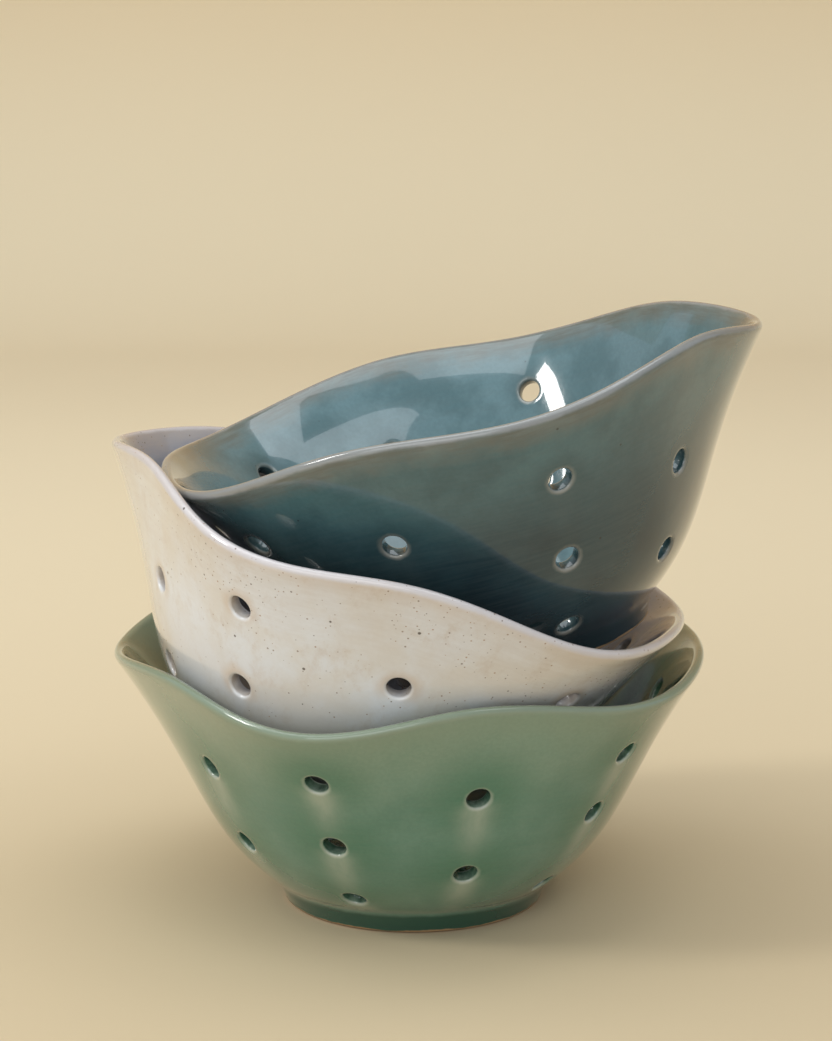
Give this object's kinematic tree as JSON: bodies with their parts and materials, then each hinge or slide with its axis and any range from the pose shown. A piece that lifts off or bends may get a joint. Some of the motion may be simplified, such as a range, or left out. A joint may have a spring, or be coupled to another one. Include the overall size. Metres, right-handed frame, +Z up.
{
  "type": "berry colander bowl",
  "caption": "Nested berry colander bowls in glazed stoneware, each with a softly waved rim, round drain holes up the wall and a plain foot ring",
  "frame": {"origin": "centre of the green bowl's foot ring, on the surface that it stands on", "axes": "+Z up along the green bowl's axis, +X to the right and -Y to the front of the nested set"},
  "size_m": [0.154, 0.1541, 0.1458],
  "materials": {
    "green_bowl_glaze": "glossy celadon glaze, bare clay on the standing ring",
    "cream_bowl_glaze": "glossy off-white glaze with iron speckles",
    "blue_bowl_glaze": "glossy slate blue glaze that breaks beige at the edges"
  },
  "bodies": {
    "green_bowl": {"green_bowl": "green_bowl_glaze"},
    "cream_bowl": {"cream_bowl": "cream_bowl_glaze"},
    "blue_bowl": {"blue_bowl": "blue_bowl_glaze"}
  },
  "joints": [
    {"name": "cream_lift", "type": "slide", "parent": "green_bowl", "child": "cream_bowl", "axis": [0, 0, 1], "range_m": [0, 0.06]},
    {"name": "blue_lift", "type": "slide", "parent": "cream_bowl", "child": "blue_bowl", "axis": [0, 0, 1], "range_m": [0, 0.075]}
  ]
}
